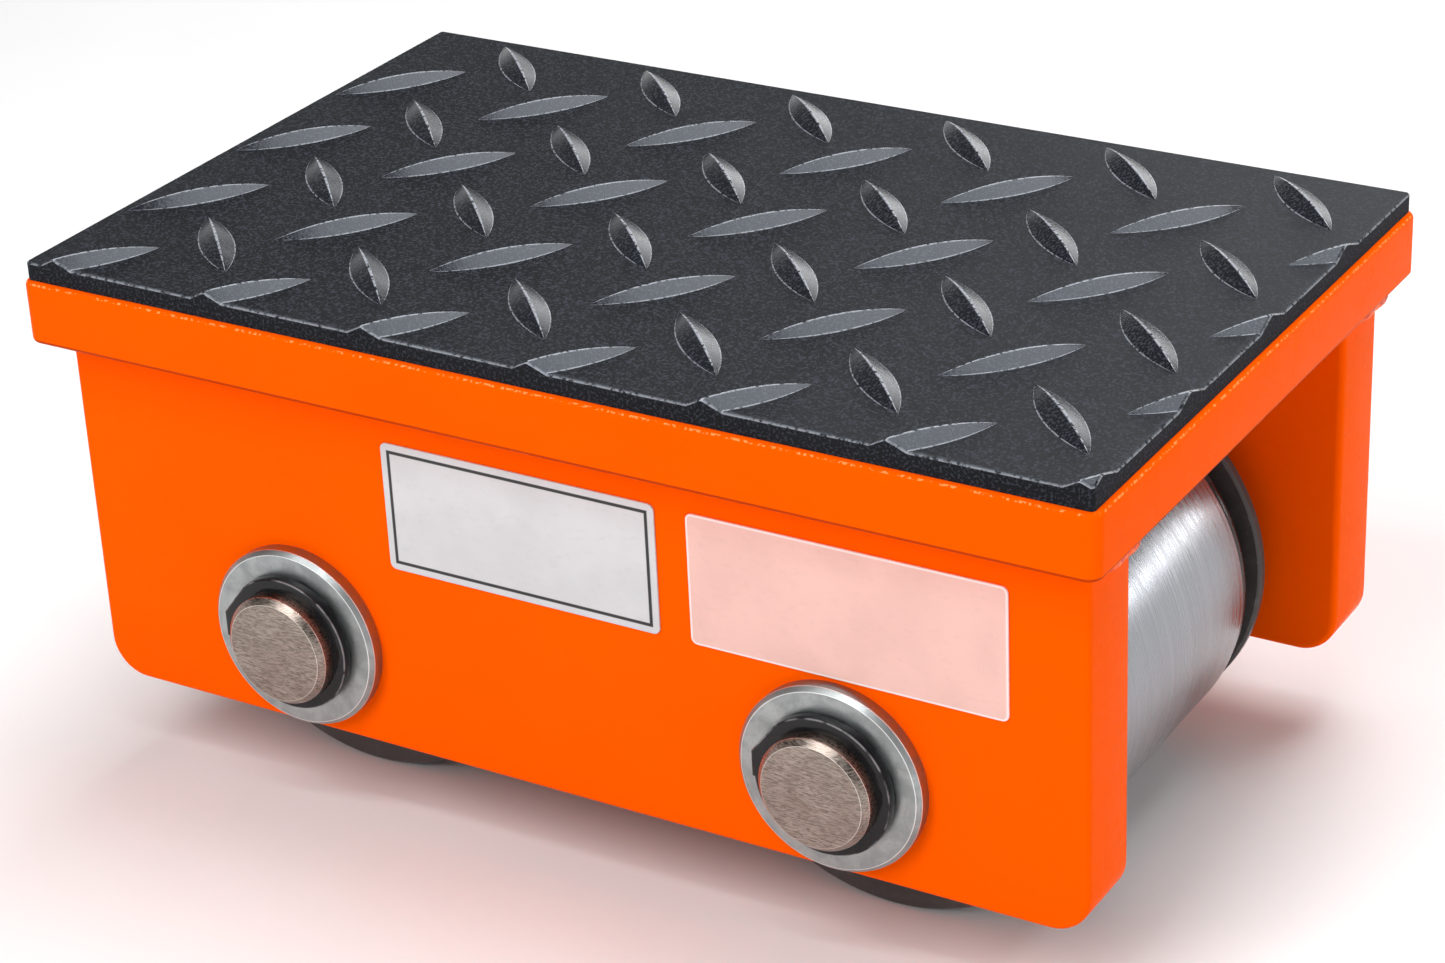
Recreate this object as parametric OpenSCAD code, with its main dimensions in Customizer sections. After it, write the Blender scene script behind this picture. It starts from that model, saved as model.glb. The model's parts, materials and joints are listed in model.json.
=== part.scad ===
// Low-profile machinery-moving trolley: a deck plate on two side plates, with
// two full-width steel rollers on fixed axles and a rubber tread pad on top.
// Millimetres, +Z up, +X along the length, +Y to the rear.
// Origin: on the ground, under the centre of the deck.

/* [Deck] */
// Length of the deck plate along X
deck_length = 200; // [165:1:400]
// Width of the deck plate along Y
deck_width = 126; // [105:1:240]
// Thickness of the deck plate
deck_thickness = 11.5; // [8:0.5:20]
// Radius of the deck's vertical corners
deck_corner_radius = 2.5; // [1:0.5:8]
// Radius of the deck's long top and bottom edges
deck_edge_radius = 1; // [0.5:0.1:3]

/* [Side plates] */
// Height of each side plate, from its lower edge to the deck
plate_height = 66; // [55:0.5:100]
// Thickness of each side plate
plate_thickness = 14.5; // [8:0.5:20]
// How far the deck overhangs each side plate's outer face
deck_overhang_side = 6.3; // [4:0.1:12]
// How far the deck overhangs the side plates' ends
deck_overhang_end = 4.2; // [4:0.1:10]
// Radius of the side plates' lower corners
plate_corner_radius = 7; // [3:0.5:12]
// Radius of the side plates' long edges
plate_edge_radius = 1.2; // [0.5:0.1:3]
// Leg of the fillet welds between the plates and the deck
weld_leg = 3.5; // [2:0.1:4]

/* [Tread pad] */
// Thickness of the rubber pad under its bars
pad_thickness = 3.3; // [2:0.1:8]
// How far the pad sits in from the deck's edges
pad_inset = 1; // [0.5:0.1:5]
// Radius of the pad's corners
pad_corner_radius = 0.8; // [0.5:0.1:8]
// Distance along X between neighbouring bars that lie the same way
bar_pitch_x = 31.6; // [28:0.1:50]
// Distance along Y between neighbouring bars that lie the same way
bar_pitch_y = 30.8; // [28:0.1:50]
// Length of a tread bar, tip to tip
bar_length = 25.5; // [15:0.5:27]
// Width of a tread bar at its middle
bar_width = 6.2; // [4:0.1:9]
// Height of the bars above the pad
bar_height = 1.7; // [0.5:0.1:3]
// Angle from the deck's length to the bars that rise to the right
rising_bar_angle = 52; // [35:1:55]
// Angle from the deck's length to the bars that fall to the right
falling_bar_angle = 46; // [35:1:55]
// Distance from the deck's left edge to the first rising bars' centres
bar_margin_left = 10.5; // [10:0.5:20]
// Distance from the deck's rear edge to the first falling bars' centres
bar_margin_rear = 12.8; // [12:0.1:20]

/* [Axles] */
// Distance between the two axles
axle_spacing = 104; // [80:0.5:130]
// Diameter of the axles
axle_diameter = 20; // [16:0.5:24]
// Length of axle that stands out beyond each washer
axle_stand_out = 5.4; // [4:0.1:12]
// Chamfer on the axle ends
axle_chamfer = 1; // [0.3:0.1:2]
// Outer diameter of the axle washers
washer_diameter = 33; // [28:0.5:40]
// Thickness of the axle washers
washer_thickness = 3.1; // [2:0.1:5]
// Thickness of the retaining rings
ring_thickness = 2; // [1:0.1:2.5]
// Radial width of the retaining rings outside the axle
ring_band = 2.2; // [1.5:0.1:3]
// Depth of the retaining ring grooves
ring_groove_depth = 0.9; // [0.5:0.1:1.5]

/* [Rollers] */
// Diameter of the steel rollers
roller_diameter = 69; // [57:0.5:83]
// Height of the axle centres above the side plates' lower edges
axle_height_in_plate = 18.5; // [15:0.5:22.5]
// Thickness of the flange discs at the roller ends
flange_thickness = 2.5; // [1.5:0.1:4]
// Width of the groove between a flange disc and its dust ring
flange_groove = 6; // [3:0.5:8]
// Thickness of the rubber dust rings
dust_ring_thickness = 1.5; // [1:0.1:3]
// Mean of the gaps between the flange discs and the side plates
flange_gap = 5; // [4:0.5:8]
// How far the rollers sit forward of the middle, towards the front plate
roller_offset = 3; // [0:0.5:3.5]
// How much smaller than the roller the flange discs and dust rings are, in radius
flange_step = 0.4; // [0.2:0.1:2]

/* [Bearings] */
// Outer diameter of the ball bearings
bearing_diameter = 47; // [39:0.5:57]
// Width of the ball bearings
bearing_width = 14; // [11.5:0.5:17]
// Diameter of the bearing balls
ball_diameter = 7.9; // [6:0.1:9.5]
// Number of balls in each bearing
ball_count = 8; // [6:1:8]
// How deep the bearings sit inside the roller ends
bearing_recess = 2; // [1:0.5:6]

/* [Labels] */
// Length of the left label
left_label_length = 52.4; // [30:0.1:63]
// Length of the right label
right_label_length = 56.2; // [30:0.1:68]
// Gap between the two labels
label_gap = 5.8; // [3:0.1:10]
// Thickness of the labels
label_thickness = 0.4; // [0.2:0.1:1]
// Distance from the deck's underside down to the labels' top edges
label_drop = 7; // [4:0.5:10]
// Distance from the washers' top up to the labels' lower edges
label_rise = 0.7; // [0.3:0.1:5]
// Distance from the front side plate's right end to the right label
label_margin_right = 13.2; // [8:0.1:20]

/* [Fits] */
// Radial clearance of the parts that slide onto the axles
axle_clearance = 0.05; // [0.02:0.01:0.1]
// Radial clearance of the parts seated in the roller bores
seat_clearance = 0.02; // [0.01:0.01:0.05]
// Radial clearance of the balls in their races
ball_clearance = 0.04; // [0.02:0.01:0.08]
// Axial clearance between a bearing and what locates it
end_clearance = 0.05; // [0.02:0.01:0.2]

/* [Hidden] */
SIDES = [["left", -1], ["right", 1]];
$fn = 96;

// Heights above the ground
roller_radius = roller_diameter / 2;
plate_bottom_z = roller_radius - axle_height_in_plate;
deck_bottom_z = plate_bottom_z + plate_height;
deck_top_z = deck_bottom_z + deck_thickness;

// Distances from the centre plane, measured along Y
plate_outer_y = deck_width / 2 - deck_overhang_side;
plate_inner_y = plate_outer_y - plate_thickness;
washer_outer_y = plate_outer_y + washer_thickness;
axle_end_y = washer_outer_y + axle_stand_out;

// Distances from the middle of the rollers, measured along Y
flange_outer_y = plate_inner_y - flange_gap;
flange_inner_y = flange_outer_y - flange_thickness;
dust_ring_outer_y = flange_inner_y - flange_groove;
roller_end_y = dust_ring_outer_y - dust_ring_thickness;
bearing_outer_y = roller_end_y - bearing_recess;
bearing_inner_y = bearing_outer_y - bearing_width;

// Side plates
plate_length = deck_length - 2 * deck_overhang_end;
plate_hole_radius = axle_diameter / 2 + axle_clearance;

// Bearings
axle_radius = axle_diameter / 2;
bearing_radius = bearing_diameter / 2;
ball_radius = ball_diameter / 2;
race_bore_radius = axle_radius + axle_clearance;
ball_circle_radius = (race_bore_radius + bearing_radius) / 2;
race_groove_radius = ball_radius + ball_clearance;
race_shoulder = 0.62 * ball_radius;
inner_shoulder_radius = ball_circle_radius - race_shoulder;
outer_shoulder_radius = ball_circle_radius + race_shoulder;
shield_thickness = 0.8;
shield_gap = 0.3;
shield_seat = 1;
cage_wall = 0.55 * ball_radius;
cage_pocket_radius = ball_radius + 3 * ball_clearance;
cage_width = cage_pocket_radius + bearing_width / 2 - shield_seat;
spacer_radius = inner_shoulder_radius - 1.2;

// Roller bodies
roller_chamfer = 0.8;
bore_shoulder = 2.5;
flange_hub_step = 2;
flange_bore_radius = spacer_radius + 1.5;
flange_radius = roller_radius - flange_step;

// Retaining rings
ring_side_clearance = 0.05;
ring_radius = axle_radius + ring_band;
ring_bore_radius = axle_radius - ring_groove_depth + axle_clearance;
ring_lug_reach = ring_radius + 0.4;
ring_lug_top = 0.28 * ring_radius;
ring_lug_bottom = 0.1 * ring_radius;
ring_slit = 0.7;
ring_slit_angle = 215;

// Labels
label_corner_radius = 1;
label_top_z = deck_bottom_z - label_drop;
label_bottom_z = roller_radius + washer_diameter / 2 + label_rise;
label_height = label_top_z - label_bottom_z;
right_label_end = plate_length / 2 - label_margin_right;
left_label_end = right_label_end - right_label_length - label_gap;

// ---- shared shapes ----

// Rectangle centred on the origin, with round corners
module rounded_rectangle(width, height, radius) {
  square([width - 2 * radius, height], center = true);
  square([width, height - 2 * radius], center = true);
  for (x = [-1, 1], y = [-1, 1])
    translate([x * (width / 2 - radius), y * (height / 2 - radius)]) circle(r = radius);
}

// Ring turned about Z, given its two radii and its two ends
module turned_ring(inner_radius, outer_radius, low, high) {
  rotate_extrude()
    translate([inner_radius, low]) square([outer_radius - inner_radius, high - low]);
}

// Places children, drawn along +Z from the centre plane, on an axle: end 1 is the rear, -1 the front
module on_axle(side, end = 1) {
  translate([side * axle_spacing / 2, 0, roller_radius])
    rotate([end * -90, 0, 0]) children();
}

// Places children, drawn along +Z from the middle of a roller
module on_roller(side, end = 1) {
  translate([0, -roller_offset, 0]) on_axle(side, end) children();
}

// ---- deck, side plates and welds ----

module deck_plate() {
  color("orangered")
    translate([0, 0, deck_bottom_z + deck_thickness / 2])
      intersection() {
        linear_extrude(deck_thickness, center = true)
          rounded_rectangle(deck_length, deck_width, deck_corner_radius);
        rotate([90, 0, 0])
          linear_extrude(deck_width, center = true)
            rounded_rectangle(deck_length, deck_thickness, deck_edge_radius);
        rotate([90, 0, 90])
          linear_extrude(deck_length, center = true)
            rounded_rectangle(deck_width, deck_thickness, deck_edge_radius);
      }
}

// Upright rectangle with its two lower corners rounded, its top edge at height
module plate_outline(width, height, radius) {
  translate([-width / 2, radius]) square([width, height - radius]);
  translate([-width / 2 + radius, 0]) square([width - 2 * radius, height]);
  for (x = [-1, 1]) translate([x * (width / 2 - radius), radius]) circle(r = radius);
}

module side_plate(end) {
  color("orangered")
    translate([0, end * (plate_outer_y - plate_thickness / 2), plate_bottom_z])
      difference() {
        intersection() {
          rotate([90, 0, 0])
            linear_extrude(plate_thickness, center = true)
              plate_outline(plate_length, plate_height, plate_corner_radius);
          rotate([90, 0, 90])
            linear_extrude(plate_length, center = true)
              plate_outline(plate_thickness, plate_height, plate_edge_radius);
          linear_extrude(plate_height)
            rounded_rectangle(plate_length, plate_thickness, plate_edge_radius);
        }
        for (side = [-1, 1])
          translate([side * axle_spacing / 2, 0, axle_height_in_plate])
            rotate([90, 0, 0])
              cylinder(h = plate_thickness + 2, r = plate_hole_radius, center = true);
      }
}

// Quarter-round bead along Z that fills the corner below the X axis and right of the Y axis
module weld_bead(length, leg) {
  linear_extrude(length, center = true)
    intersection() {
      circle(r = leg);
      translate([0, -leg]) square(leg);
    }
}

module end_welds(end) {
  bead_length = plate_thickness - 2 * plate_edge_radius;
  color("orangered")
    for (side = [-1, 1])
      mirror([side == 1 ? 0 : 1, 0, 0])
        translate([plate_length / 2, end * (plate_outer_y - plate_thickness / 2), deck_bottom_z])
          rotate([90, 0, 0]) weld_bead(bead_length, weld_leg);
}

// The bead's leg is no more than the clear height over the flange discs that it passes
module inner_weld(end) {
  bead_length = plate_length - 2 * plate_corner_radius;
  clear_height = deck_bottom_z - roller_radius - flange_radius;
  leg = min(weld_leg, clear_height);
  color("orangered")
    mirror([0, end == 1 ? 0 : 1, 0])
      translate([0, plate_inner_y, deck_bottom_z])
        rotate([90, 0, -90]) weld_bead(bead_length, leg);
}

// ---- tread pad ----

module pad_outline() {
  rounded_rectangle(deck_length - 2 * pad_inset, deck_width - 2 * pad_inset, pad_corner_radius);
}

// Pointed bar in plan: the overlap of two equal circles
module tread_bar_outline() {
  bar_radius = (bar_length * bar_length + bar_width * bar_width) / (4 * bar_width);
  intersection_for(y = [-1, 1])
    translate([0, y * (bar_radius - bar_width / 2)]) circle(r = bar_radius, $fn = 180);
}

// One family of bars: a grid that starts at first_x, first_y and runs over the pad's front and right edges
module bar_family(first_x, first_y, angle) {
  reach_x = bar_length / 2 * abs(cos(angle)) - 1;
  reach_y = bar_length / 2 * abs(sin(angle)) - 1;
  for (x = [first_x : bar_pitch_x : deck_length / 2 + reach_x])
    for (y = [first_y : -bar_pitch_y : -deck_width / 2 - reach_y])
      translate([x, y]) rotate(angle) tread_bar_outline();
}

module tread_pad() {
  left = -deck_length / 2 + bar_margin_left;
  rear = deck_width / 2 - bar_margin_rear;
  color("dimgray")
    translate([0, 0, deck_top_z]) {
      linear_extrude(pad_thickness) pad_outline();
      linear_extrude(pad_thickness + bar_height)
        intersection() {
          pad_outline();
          union() {
            bar_family(left, rear - bar_pitch_y / 2, rising_bar_angle);
            bar_family(left + bar_pitch_x / 2, rear, -falling_bar_angle);
          }
        }
    }
}

// ---- labels ----

module blank_label(right_end, length) {
  translate([right_end - length / 2, -plate_outer_y, label_bottom_z + label_height / 2])
    rotate([90, 0, 0])
      linear_extrude(label_thickness)
        rounded_rectangle(length, label_height, label_corner_radius);
}

module left_label() {
  color("white") blank_label(left_label_end, left_label_length);
}

module right_label() {
  color("pink") blank_label(right_label_end, right_label_length);
}

// ---- axles and what holds them ----

// Half of the axle's outline, from the centre plane to the rear end
module axle_half_outline() {
  groove_width = ring_thickness + 2 * ring_side_clearance;
  groove_start = washer_outer_y;
  difference() {
    polygon([
      [0, 0],
      [axle_radius, 0],
      [axle_radius, axle_end_y - axle_chamfer],
      [axle_radius - axle_chamfer, axle_end_y],
      [0, axle_end_y],
    ]);
    translate([axle_radius - ring_groove_depth, groove_start])
      square([2 * ring_groove_depth, groove_width]);
  }
}

module axle(side) {
  color("rosybrown")
    on_axle(side)
      rotate_extrude() {
        axle_half_outline();
        mirror([0, 1]) axle_half_outline();
      }
}

module axle_washer(side, end) {
  chamfer = washer_thickness / 4;
  washer_radius = washer_diameter / 2;
  color("silver")
    on_axle(side, end)
      rotate_extrude()
        polygon([
          [axle_radius + axle_clearance, plate_outer_y],
          [washer_radius, plate_outer_y],
          [washer_radius, washer_outer_y - chamfer],
          [washer_radius - chamfer, washer_outer_y],
          [axle_radius + axle_clearance, washer_outer_y],
        ]);
}

// Open spring ring with a lug that ends in a straight upright edge
module retaining_ring_outline() {
  difference() {
    union() {
      circle(r = ring_radius);
      polygon([
        [0, 0],
        [-0.67 * ring_radius, 0.74 * ring_radius],
        [-ring_lug_reach, ring_lug_top],
        [-ring_lug_reach, -ring_lug_bottom],
        [-0.95 * ring_radius, -0.3 * ring_radius],
      ]);
    }
    circle(r = ring_bore_radius);
    rotate(ring_slit_angle)
      translate([0, -ring_slit / 2]) square([ring_lug_reach, ring_slit]);
  }
}

module retaining_ring(side, end) {
  color("black")
    on_axle(side, end)
      translate([0, 0, washer_outer_y + ring_side_clearance])
        linear_extrude(ring_thickness) retaining_ring_outline();
}

// Tube on the axle between the side plate and a bearing's inner race
module end_spacer(side, end) {
  plate_y = plate_inner_y + end * roller_offset;
  color("gray")
    on_roller(side, end)
      turned_ring(race_bore_radius, spacer_radius, bearing_outer_y + end_clearance, plate_y);
}

// Tube on the axle between the two inner races
module centre_spacer(side) {
  color("gray")
    on_roller(side)
      turned_ring(race_bore_radius, spacer_radius, -bearing_inner_y, bearing_inner_y);
}

// ---- roller bodies ----

module roller_shell(side) {
  bore_radius = bearing_radius + seat_clearance;
  color("silver")
    on_roller(side)
      difference() {
        rotate_extrude()
          polygon([
            [bearing_radius - bore_shoulder, -roller_end_y],
            [roller_radius - roller_chamfer, -roller_end_y],
            [roller_radius, -roller_end_y + roller_chamfer],
            [roller_radius, roller_end_y - roller_chamfer],
            [roller_radius - roller_chamfer, roller_end_y],
            [bearing_radius - bore_shoulder, roller_end_y],
          ]);
        for (end = [-1, 1])
          rotate([end == 1 ? 0 : 180, 0, 0])
            translate([0, 0, bearing_inner_y - end_clearance])
              cylinder(h = roller_end_y, r = bore_radius);
      }
}

// Turned disc whose spigot enters the roller's bore and holds the bearing in
module flange_disc(side, end) {
  spigot_radius = bearing_radius - seat_clearance;
  hub_radius = bearing_radius + flange_hub_step;
  relief_y = roller_end_y + dust_ring_thickness / 2;
  rim_chamfer = 0.5;
  color("dimgray")
    on_roller(side, end)
      rotate_extrude()
        polygon([
          [flange_bore_radius, relief_y],
          [outer_shoulder_radius + shield_seat + shield_gap, relief_y],
          [outer_shoulder_radius + shield_seat + shield_gap, bearing_outer_y + end_clearance],
          [spigot_radius, bearing_outer_y + end_clearance],
          [spigot_radius, dust_ring_outer_y],
          [hub_radius, dust_ring_outer_y],
          [hub_radius, flange_inner_y],
          [flange_radius - rim_chamfer, flange_inner_y],
          [flange_radius, flange_inner_y + rim_chamfer],
          [flange_radius, flange_outer_y - rim_chamfer],
          [flange_radius - rim_chamfer, flange_outer_y],
          [flange_bore_radius, flange_outer_y],
        ]);
}

module dust_ring(side, end) {
  color("black")
    on_roller(side, end)
      turned_ring(bearing_radius, flange_radius, roller_end_y, dust_ring_outer_y);
}

// ---- ball bearings ----

// Places children, drawn about the bearing's centre, in one bearing
module in_bearing(side, end) {
  on_roller(side, end)
    translate([0, 0, (bearing_outer_y + bearing_inner_y) / 2]) children();
}

// Groove that the balls run in, as a solid to cut away
module ball_track() {
  rotate_extrude()
    translate([ball_circle_radius, 0]) circle(r = race_groove_radius);
}

module inner_race(side, end) {
  color("lightsteelblue")
    in_bearing(side, end)
      difference() {
        turned_ring(race_bore_radius, inner_shoulder_radius, -bearing_width / 2, bearing_width / 2);
        ball_track();
      }
}

module outer_race(side, end) {
  color("lightsteelblue")
    in_bearing(side, end)
      difference() {
        turned_ring(outer_shoulder_radius, bearing_radius, -bearing_width / 2, bearing_width / 2);
        ball_track();
        for (face = [-1, 1])
          translate([0, 0, face * bearing_width / 2])
            cylinder(h = 2 * shield_seat, r = outer_shoulder_radius + shield_seat, center = true);
      }
}

module bearing_balls(side, end) {
  color("white")
    in_bearing(side, end)
      for (i = [0 : ball_count - 1])
        rotate(i * 360 / ball_count)
          translate([ball_circle_radius, 0, 0]) sphere(r = ball_radius);
}

module ball_cage(side, end) {
  color("goldenrod")
    in_bearing(side, end)
      difference() {
        turned_ring(ball_circle_radius - cage_wall / 2, ball_circle_radius + cage_wall / 2,
                    -cage_width / 2, cage_width / 2);
        for (i = [0 : ball_count - 1])
          rotate(i * 360 / ball_count)
            rotate([0, 90, 0]) cylinder(h = 2 * ball_circle_radius, r = cage_pocket_radius);
      }
}

module bearing_shields(side, end) {
  color("gainsboro")
    in_bearing(side, end)
      for (face = [-1, 1])
        translate([0, 0, face * (bearing_width / 2 - shield_seat + shield_thickness / 2)])
          turned_ring(inner_shoulder_radius + shield_gap, outer_shoulder_radius + shield_seat,
                      -shield_thickness / 2, shield_thickness / 2);
}

deck_plate();
side_plate(-1);  // front_side_plate
side_plate(1);  // rear_side_plate
end_welds(-1);  // front_end_welds
end_welds(1);  // rear_end_welds
inner_weld(-1);  // front_inner_weld
inner_weld(1);  // rear_inner_weld
tread_pad();
left_label();
right_label();
for (s = SIDES) {
  axle(s[1]);
  roller_shell(s[1]);
  centre_spacer(s[1]);
  for (e = [["front", -1], ["rear", 1]]) {
    prefix = str(s[0], "_", e[0], "_");
    axle_washer(s[1], e[1]);
    retaining_ring(s[1], e[1]);
    flange_disc(s[1], e[1]);
    dust_ring(s[1], e[1]);
    outer_race(s[1], e[1]);
    inner_race(s[1], e[1]);
    bearing_balls(s[1], e[1]);
    ball_cage(s[1], e[1]);
    bearing_shields(s[1], e[1]);
    end_spacer(s[1], e[1]);
  }
}
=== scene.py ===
"""The looks of the low-profile cargo trolley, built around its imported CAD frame.

Metres. The origin is on the ground under the deck's centre: +X along the length, +Y to the rear, +Z up.
"""

import json
import math

import bmesh
import bpy
from mathutils import Matrix, Vector
from mathutils.geometry import delaunay_2d_cdt


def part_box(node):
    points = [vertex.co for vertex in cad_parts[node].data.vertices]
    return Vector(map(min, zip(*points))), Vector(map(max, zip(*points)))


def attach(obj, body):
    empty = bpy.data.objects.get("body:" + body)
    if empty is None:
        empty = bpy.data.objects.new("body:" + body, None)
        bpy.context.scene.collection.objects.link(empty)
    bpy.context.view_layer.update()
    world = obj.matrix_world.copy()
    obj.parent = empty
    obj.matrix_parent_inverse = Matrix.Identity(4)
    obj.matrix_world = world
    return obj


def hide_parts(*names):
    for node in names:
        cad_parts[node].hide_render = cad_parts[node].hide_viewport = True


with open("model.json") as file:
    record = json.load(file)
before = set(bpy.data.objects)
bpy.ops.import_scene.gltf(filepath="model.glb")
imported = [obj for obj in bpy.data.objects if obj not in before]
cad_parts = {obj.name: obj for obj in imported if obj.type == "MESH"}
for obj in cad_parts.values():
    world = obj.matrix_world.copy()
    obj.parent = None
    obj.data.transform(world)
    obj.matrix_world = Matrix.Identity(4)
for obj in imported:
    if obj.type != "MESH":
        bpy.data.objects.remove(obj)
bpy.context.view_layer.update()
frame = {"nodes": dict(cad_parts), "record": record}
MM = 0.001

# Sizes of details that the CAD boxes don't give
DECK_CORNER = 2.5 * MM
DECK_EDGE = 1.0 * MM
PLATE_CORNER = 7.0 * MM
PLATE_EDGE = 1.2 * MM
PAD_CORNER = 0.8 * MM
PAD_EDGE = 0.3 * MM
RIM_HIGHLIGHT_FADE = 0.15 * MM
BAR_PITCH = Vector((31.6 * MM, 30.8 * MM))
BAR_LENGTH = 25.5 * MM
BAR_WIDTH = 6.2 * MM
BAR_HEIGHT = 1.7 * MM
BAR_RIDGE = 0.045
RISING_ANGLE = math.radians(52)
FALLING_ANGLE = math.radians(46)
BAR_MARGIN_LEFT = 10.5 * MM
BAR_MARGIN_REAR = 12.8 * MM
WELD_RIPPLE = 1.7 * MM
RING_GROOVE = 0.9 * MM
RING_BAND = 2.2 * MM
RING_SLIT = 0.7 * MM
FLANGE_THICKNESS = 2.5 * MM
FLANGE_CHAMFER = 0.5 * MM
LABEL_CORNER = 1.2 * MM

# Colour that the orange paint gives to what it reflects
PAINT_TINT = (1.0, 0.42, 0.12, 1.0)

# The camera, from the photograph's perspective
AIM = Vector((-6.8, 8.35, 43.5)) * MM
AZIMUTH = math.radians(31.73)
ELEVATION = math.radians(26.61)
ROLL = math.radians(2.73)
DISTANCE = 655.3 * MM
LENS = 92.05


class Box:
    """Where a CAD node lies at rest."""

    def __init__(self, node):
        self.low, self.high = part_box(node)
        self.size = self.high - self.low
        self.centre = (self.high + self.low) / 2


NODE_BODY = {
    node: body
    for body, nodes in frame["record"]["behaviour"]["bodies"].items()
    for node in nodes
}
NODE_SLOT = {part["node"]: part["material_slot"] for part in frame["record"]["subparts"]}
SIDES = ("left", "right")
ENDS = (("front", -1), ("rear", 1))

DECK = Box("deck_plate")
PAD = Box("tread_pad")
FRONT_PLATE = Box("front_side_plate")
AXLE_RADIUS = Box("left_axle").size.x / 2
AXLE_CENTRE = {side: Box(side + "_axle").centre for side in SIDES}


# ---- materials ----


class Finish:
    """A procedural material: one principled shader, fed by nodes that work in object space."""

    def __init__(self, name, **sockets):
        self.material = bpy.data.materials.new(name)
        self.material.use_nodes = True
        self.tree = self.material.node_tree
        self.surface = self.tree.nodes["Principled BSDF"]
        self.position = self.add("ShaderNodeTexCoord").outputs["Object"]
        for socket, value in sockets.items():
            self.surface.inputs[socket.replace("_", " ")].default_value = value

    def add(self, kind, **settings):
        node = self.tree.nodes.new(kind)
        for name, value in settings.items():
            setattr(node, name, value)
        return node

    def feed(self, socket, value):
        """Links a node's output to a socket, or sets the socket's own value."""
        if isinstance(value, bpy.types.NodeSocket):
            self.tree.links.new(value, socket)
        else:
            socket.default_value = value

    def math(self, operation, first, second=0.0, clamp=False):
        """A Math node of any operation; either operand may be a node's output."""
        node = self.add("ShaderNodeMath", operation=operation, use_clamp=clamp)
        self.feed(node.inputs[0], first)
        self.feed(node.inputs[1], second)
        return node.outputs[0]

    def noise(self, size, stretch=(1, 1, 1), detail=2.0, distortion=0.0):
        """Noise from 0 to 1 whose blotches are size metres across, times stretch along each axis."""
        mapping = self.add("ShaderNodeMapping")
        self.feed(mapping.inputs["Vector"], self.position)
        mapping.inputs["Scale"].default_value = [1 / (size * s) for s in stretch]
        texture = self.add("ShaderNodeTexNoise")
        self.feed(texture.inputs["Vector"], mapping.outputs["Vector"])
        texture.inputs["Scale"].default_value = 1.0
        texture.inputs["Detail"].default_value = detail
        texture.inputs["Distortion"].default_value = distortion
        return texture.outputs["Fac"]

    def ramp(self, value, low, high, to_low=0.0, to_high=1.0):
        """A smooth step of value between low and high."""
        node = self.add("ShaderNodeMapRange", interpolation_type="SMOOTHSTEP")
        self.feed(node.inputs["Value"], value)
        node.inputs["From Min"].default_value = low
        node.inputs["From Max"].default_value = high
        node.inputs["To Min"].default_value = to_low
        node.inputs["To Max"].default_value = to_high
        return node.outputs["Result"]

    def mix(self, factor, first, second):
        """A colour between two colours; either may be a node's output."""
        node = self.add("ShaderNodeMix", data_type="RGBA")
        # Sockets 6 and 7 are the colour pair, and output 2 is the mixed colour
        self.feed(node.inputs["Factor"], factor)
        for socket, colour in ((node.inputs[6], first), (node.inputs[7], second)):
            self.feed(socket, colour if isinstance(colour, bpy.types.NodeSocket) else (*colour, 1))
        return node.outputs[2]

    def attribute(self, name):
        return self.add("ShaderNodeAttribute", attribute_name=name).outputs["Fac"]

    def axis(self, name):
        """One coordinate of the object-space position."""
        node = self.add("ShaderNodeSeparateXYZ")
        self.feed(node.inputs[0], self.position)
        return node.outputs[name]

    def colour(self, value):
        self.feed(self.surface.inputs["Base Color"], value)

    def roughness(self, value):
        self.feed(self.surface.inputs["Roughness"], value)

    def bump(self, height, depth):
        """Adds relief: height from 0 to 1 stands for depth metres."""
        node = self.add("ShaderNodeBump")
        node.inputs["Distance"].default_value = depth
        self.feed(node.inputs["Height"], height)
        normal = self.surface.inputs["Normal"]
        if normal.is_linked:
            self.feed(node.inputs["Normal"], normal.links[0].from_socket)
        self.feed(normal, node.outputs["Normal"])


def orange_paint():
    """Powder coat with fine orange peel, with painted highlight specks along upper edges and painted
    shade along lower ones.
    """
    paint = Finish("orange_paint", Metallic=0.0, IOR=1.05, Specular_Tint=PAINT_TINT)
    clouds = paint.noise(28 * MM, detail=3.0)
    base = paint.mix(clouds, (0.97, 0.094, 0.0), (1.0, 0.106, 0.0))
    specks = paint.ramp(paint.noise(0.7 * MM, detail=2.0), 0.5, 0.6)
    edge = paint.attribute("edge")
    # Painted shade: dark brown along the lower edges, under the deck's lip
    painted_shade = paint.ramp(edge, -0.9, -0.3, 0.75, 0.0)
    base = paint.mix(painted_shade, base, (0.36, 0.03, 0.004))
    # Painted highlight: broken pale specks along the upper edges
    worn_tone_and_highlight = paint.math("MULTIPLY", paint.ramp(edge, 0.6, 0.95), specks)
    paint.colour(paint.mix(worn_tone_and_highlight, base, (1.0, 0.3, 0.08)))
    paint.roughness(paint.ramp(paint.noise(6 * MM, detail=4.0), 0.3, 0.7, 0.2, 0.3))
    paint.bump(paint.noise(1.6 * MM, detail=1.0), 0.03 * MM)
    paint.bump(paint.noise(0.35 * MM), 0.006 * MM)
    return paint.material


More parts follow.
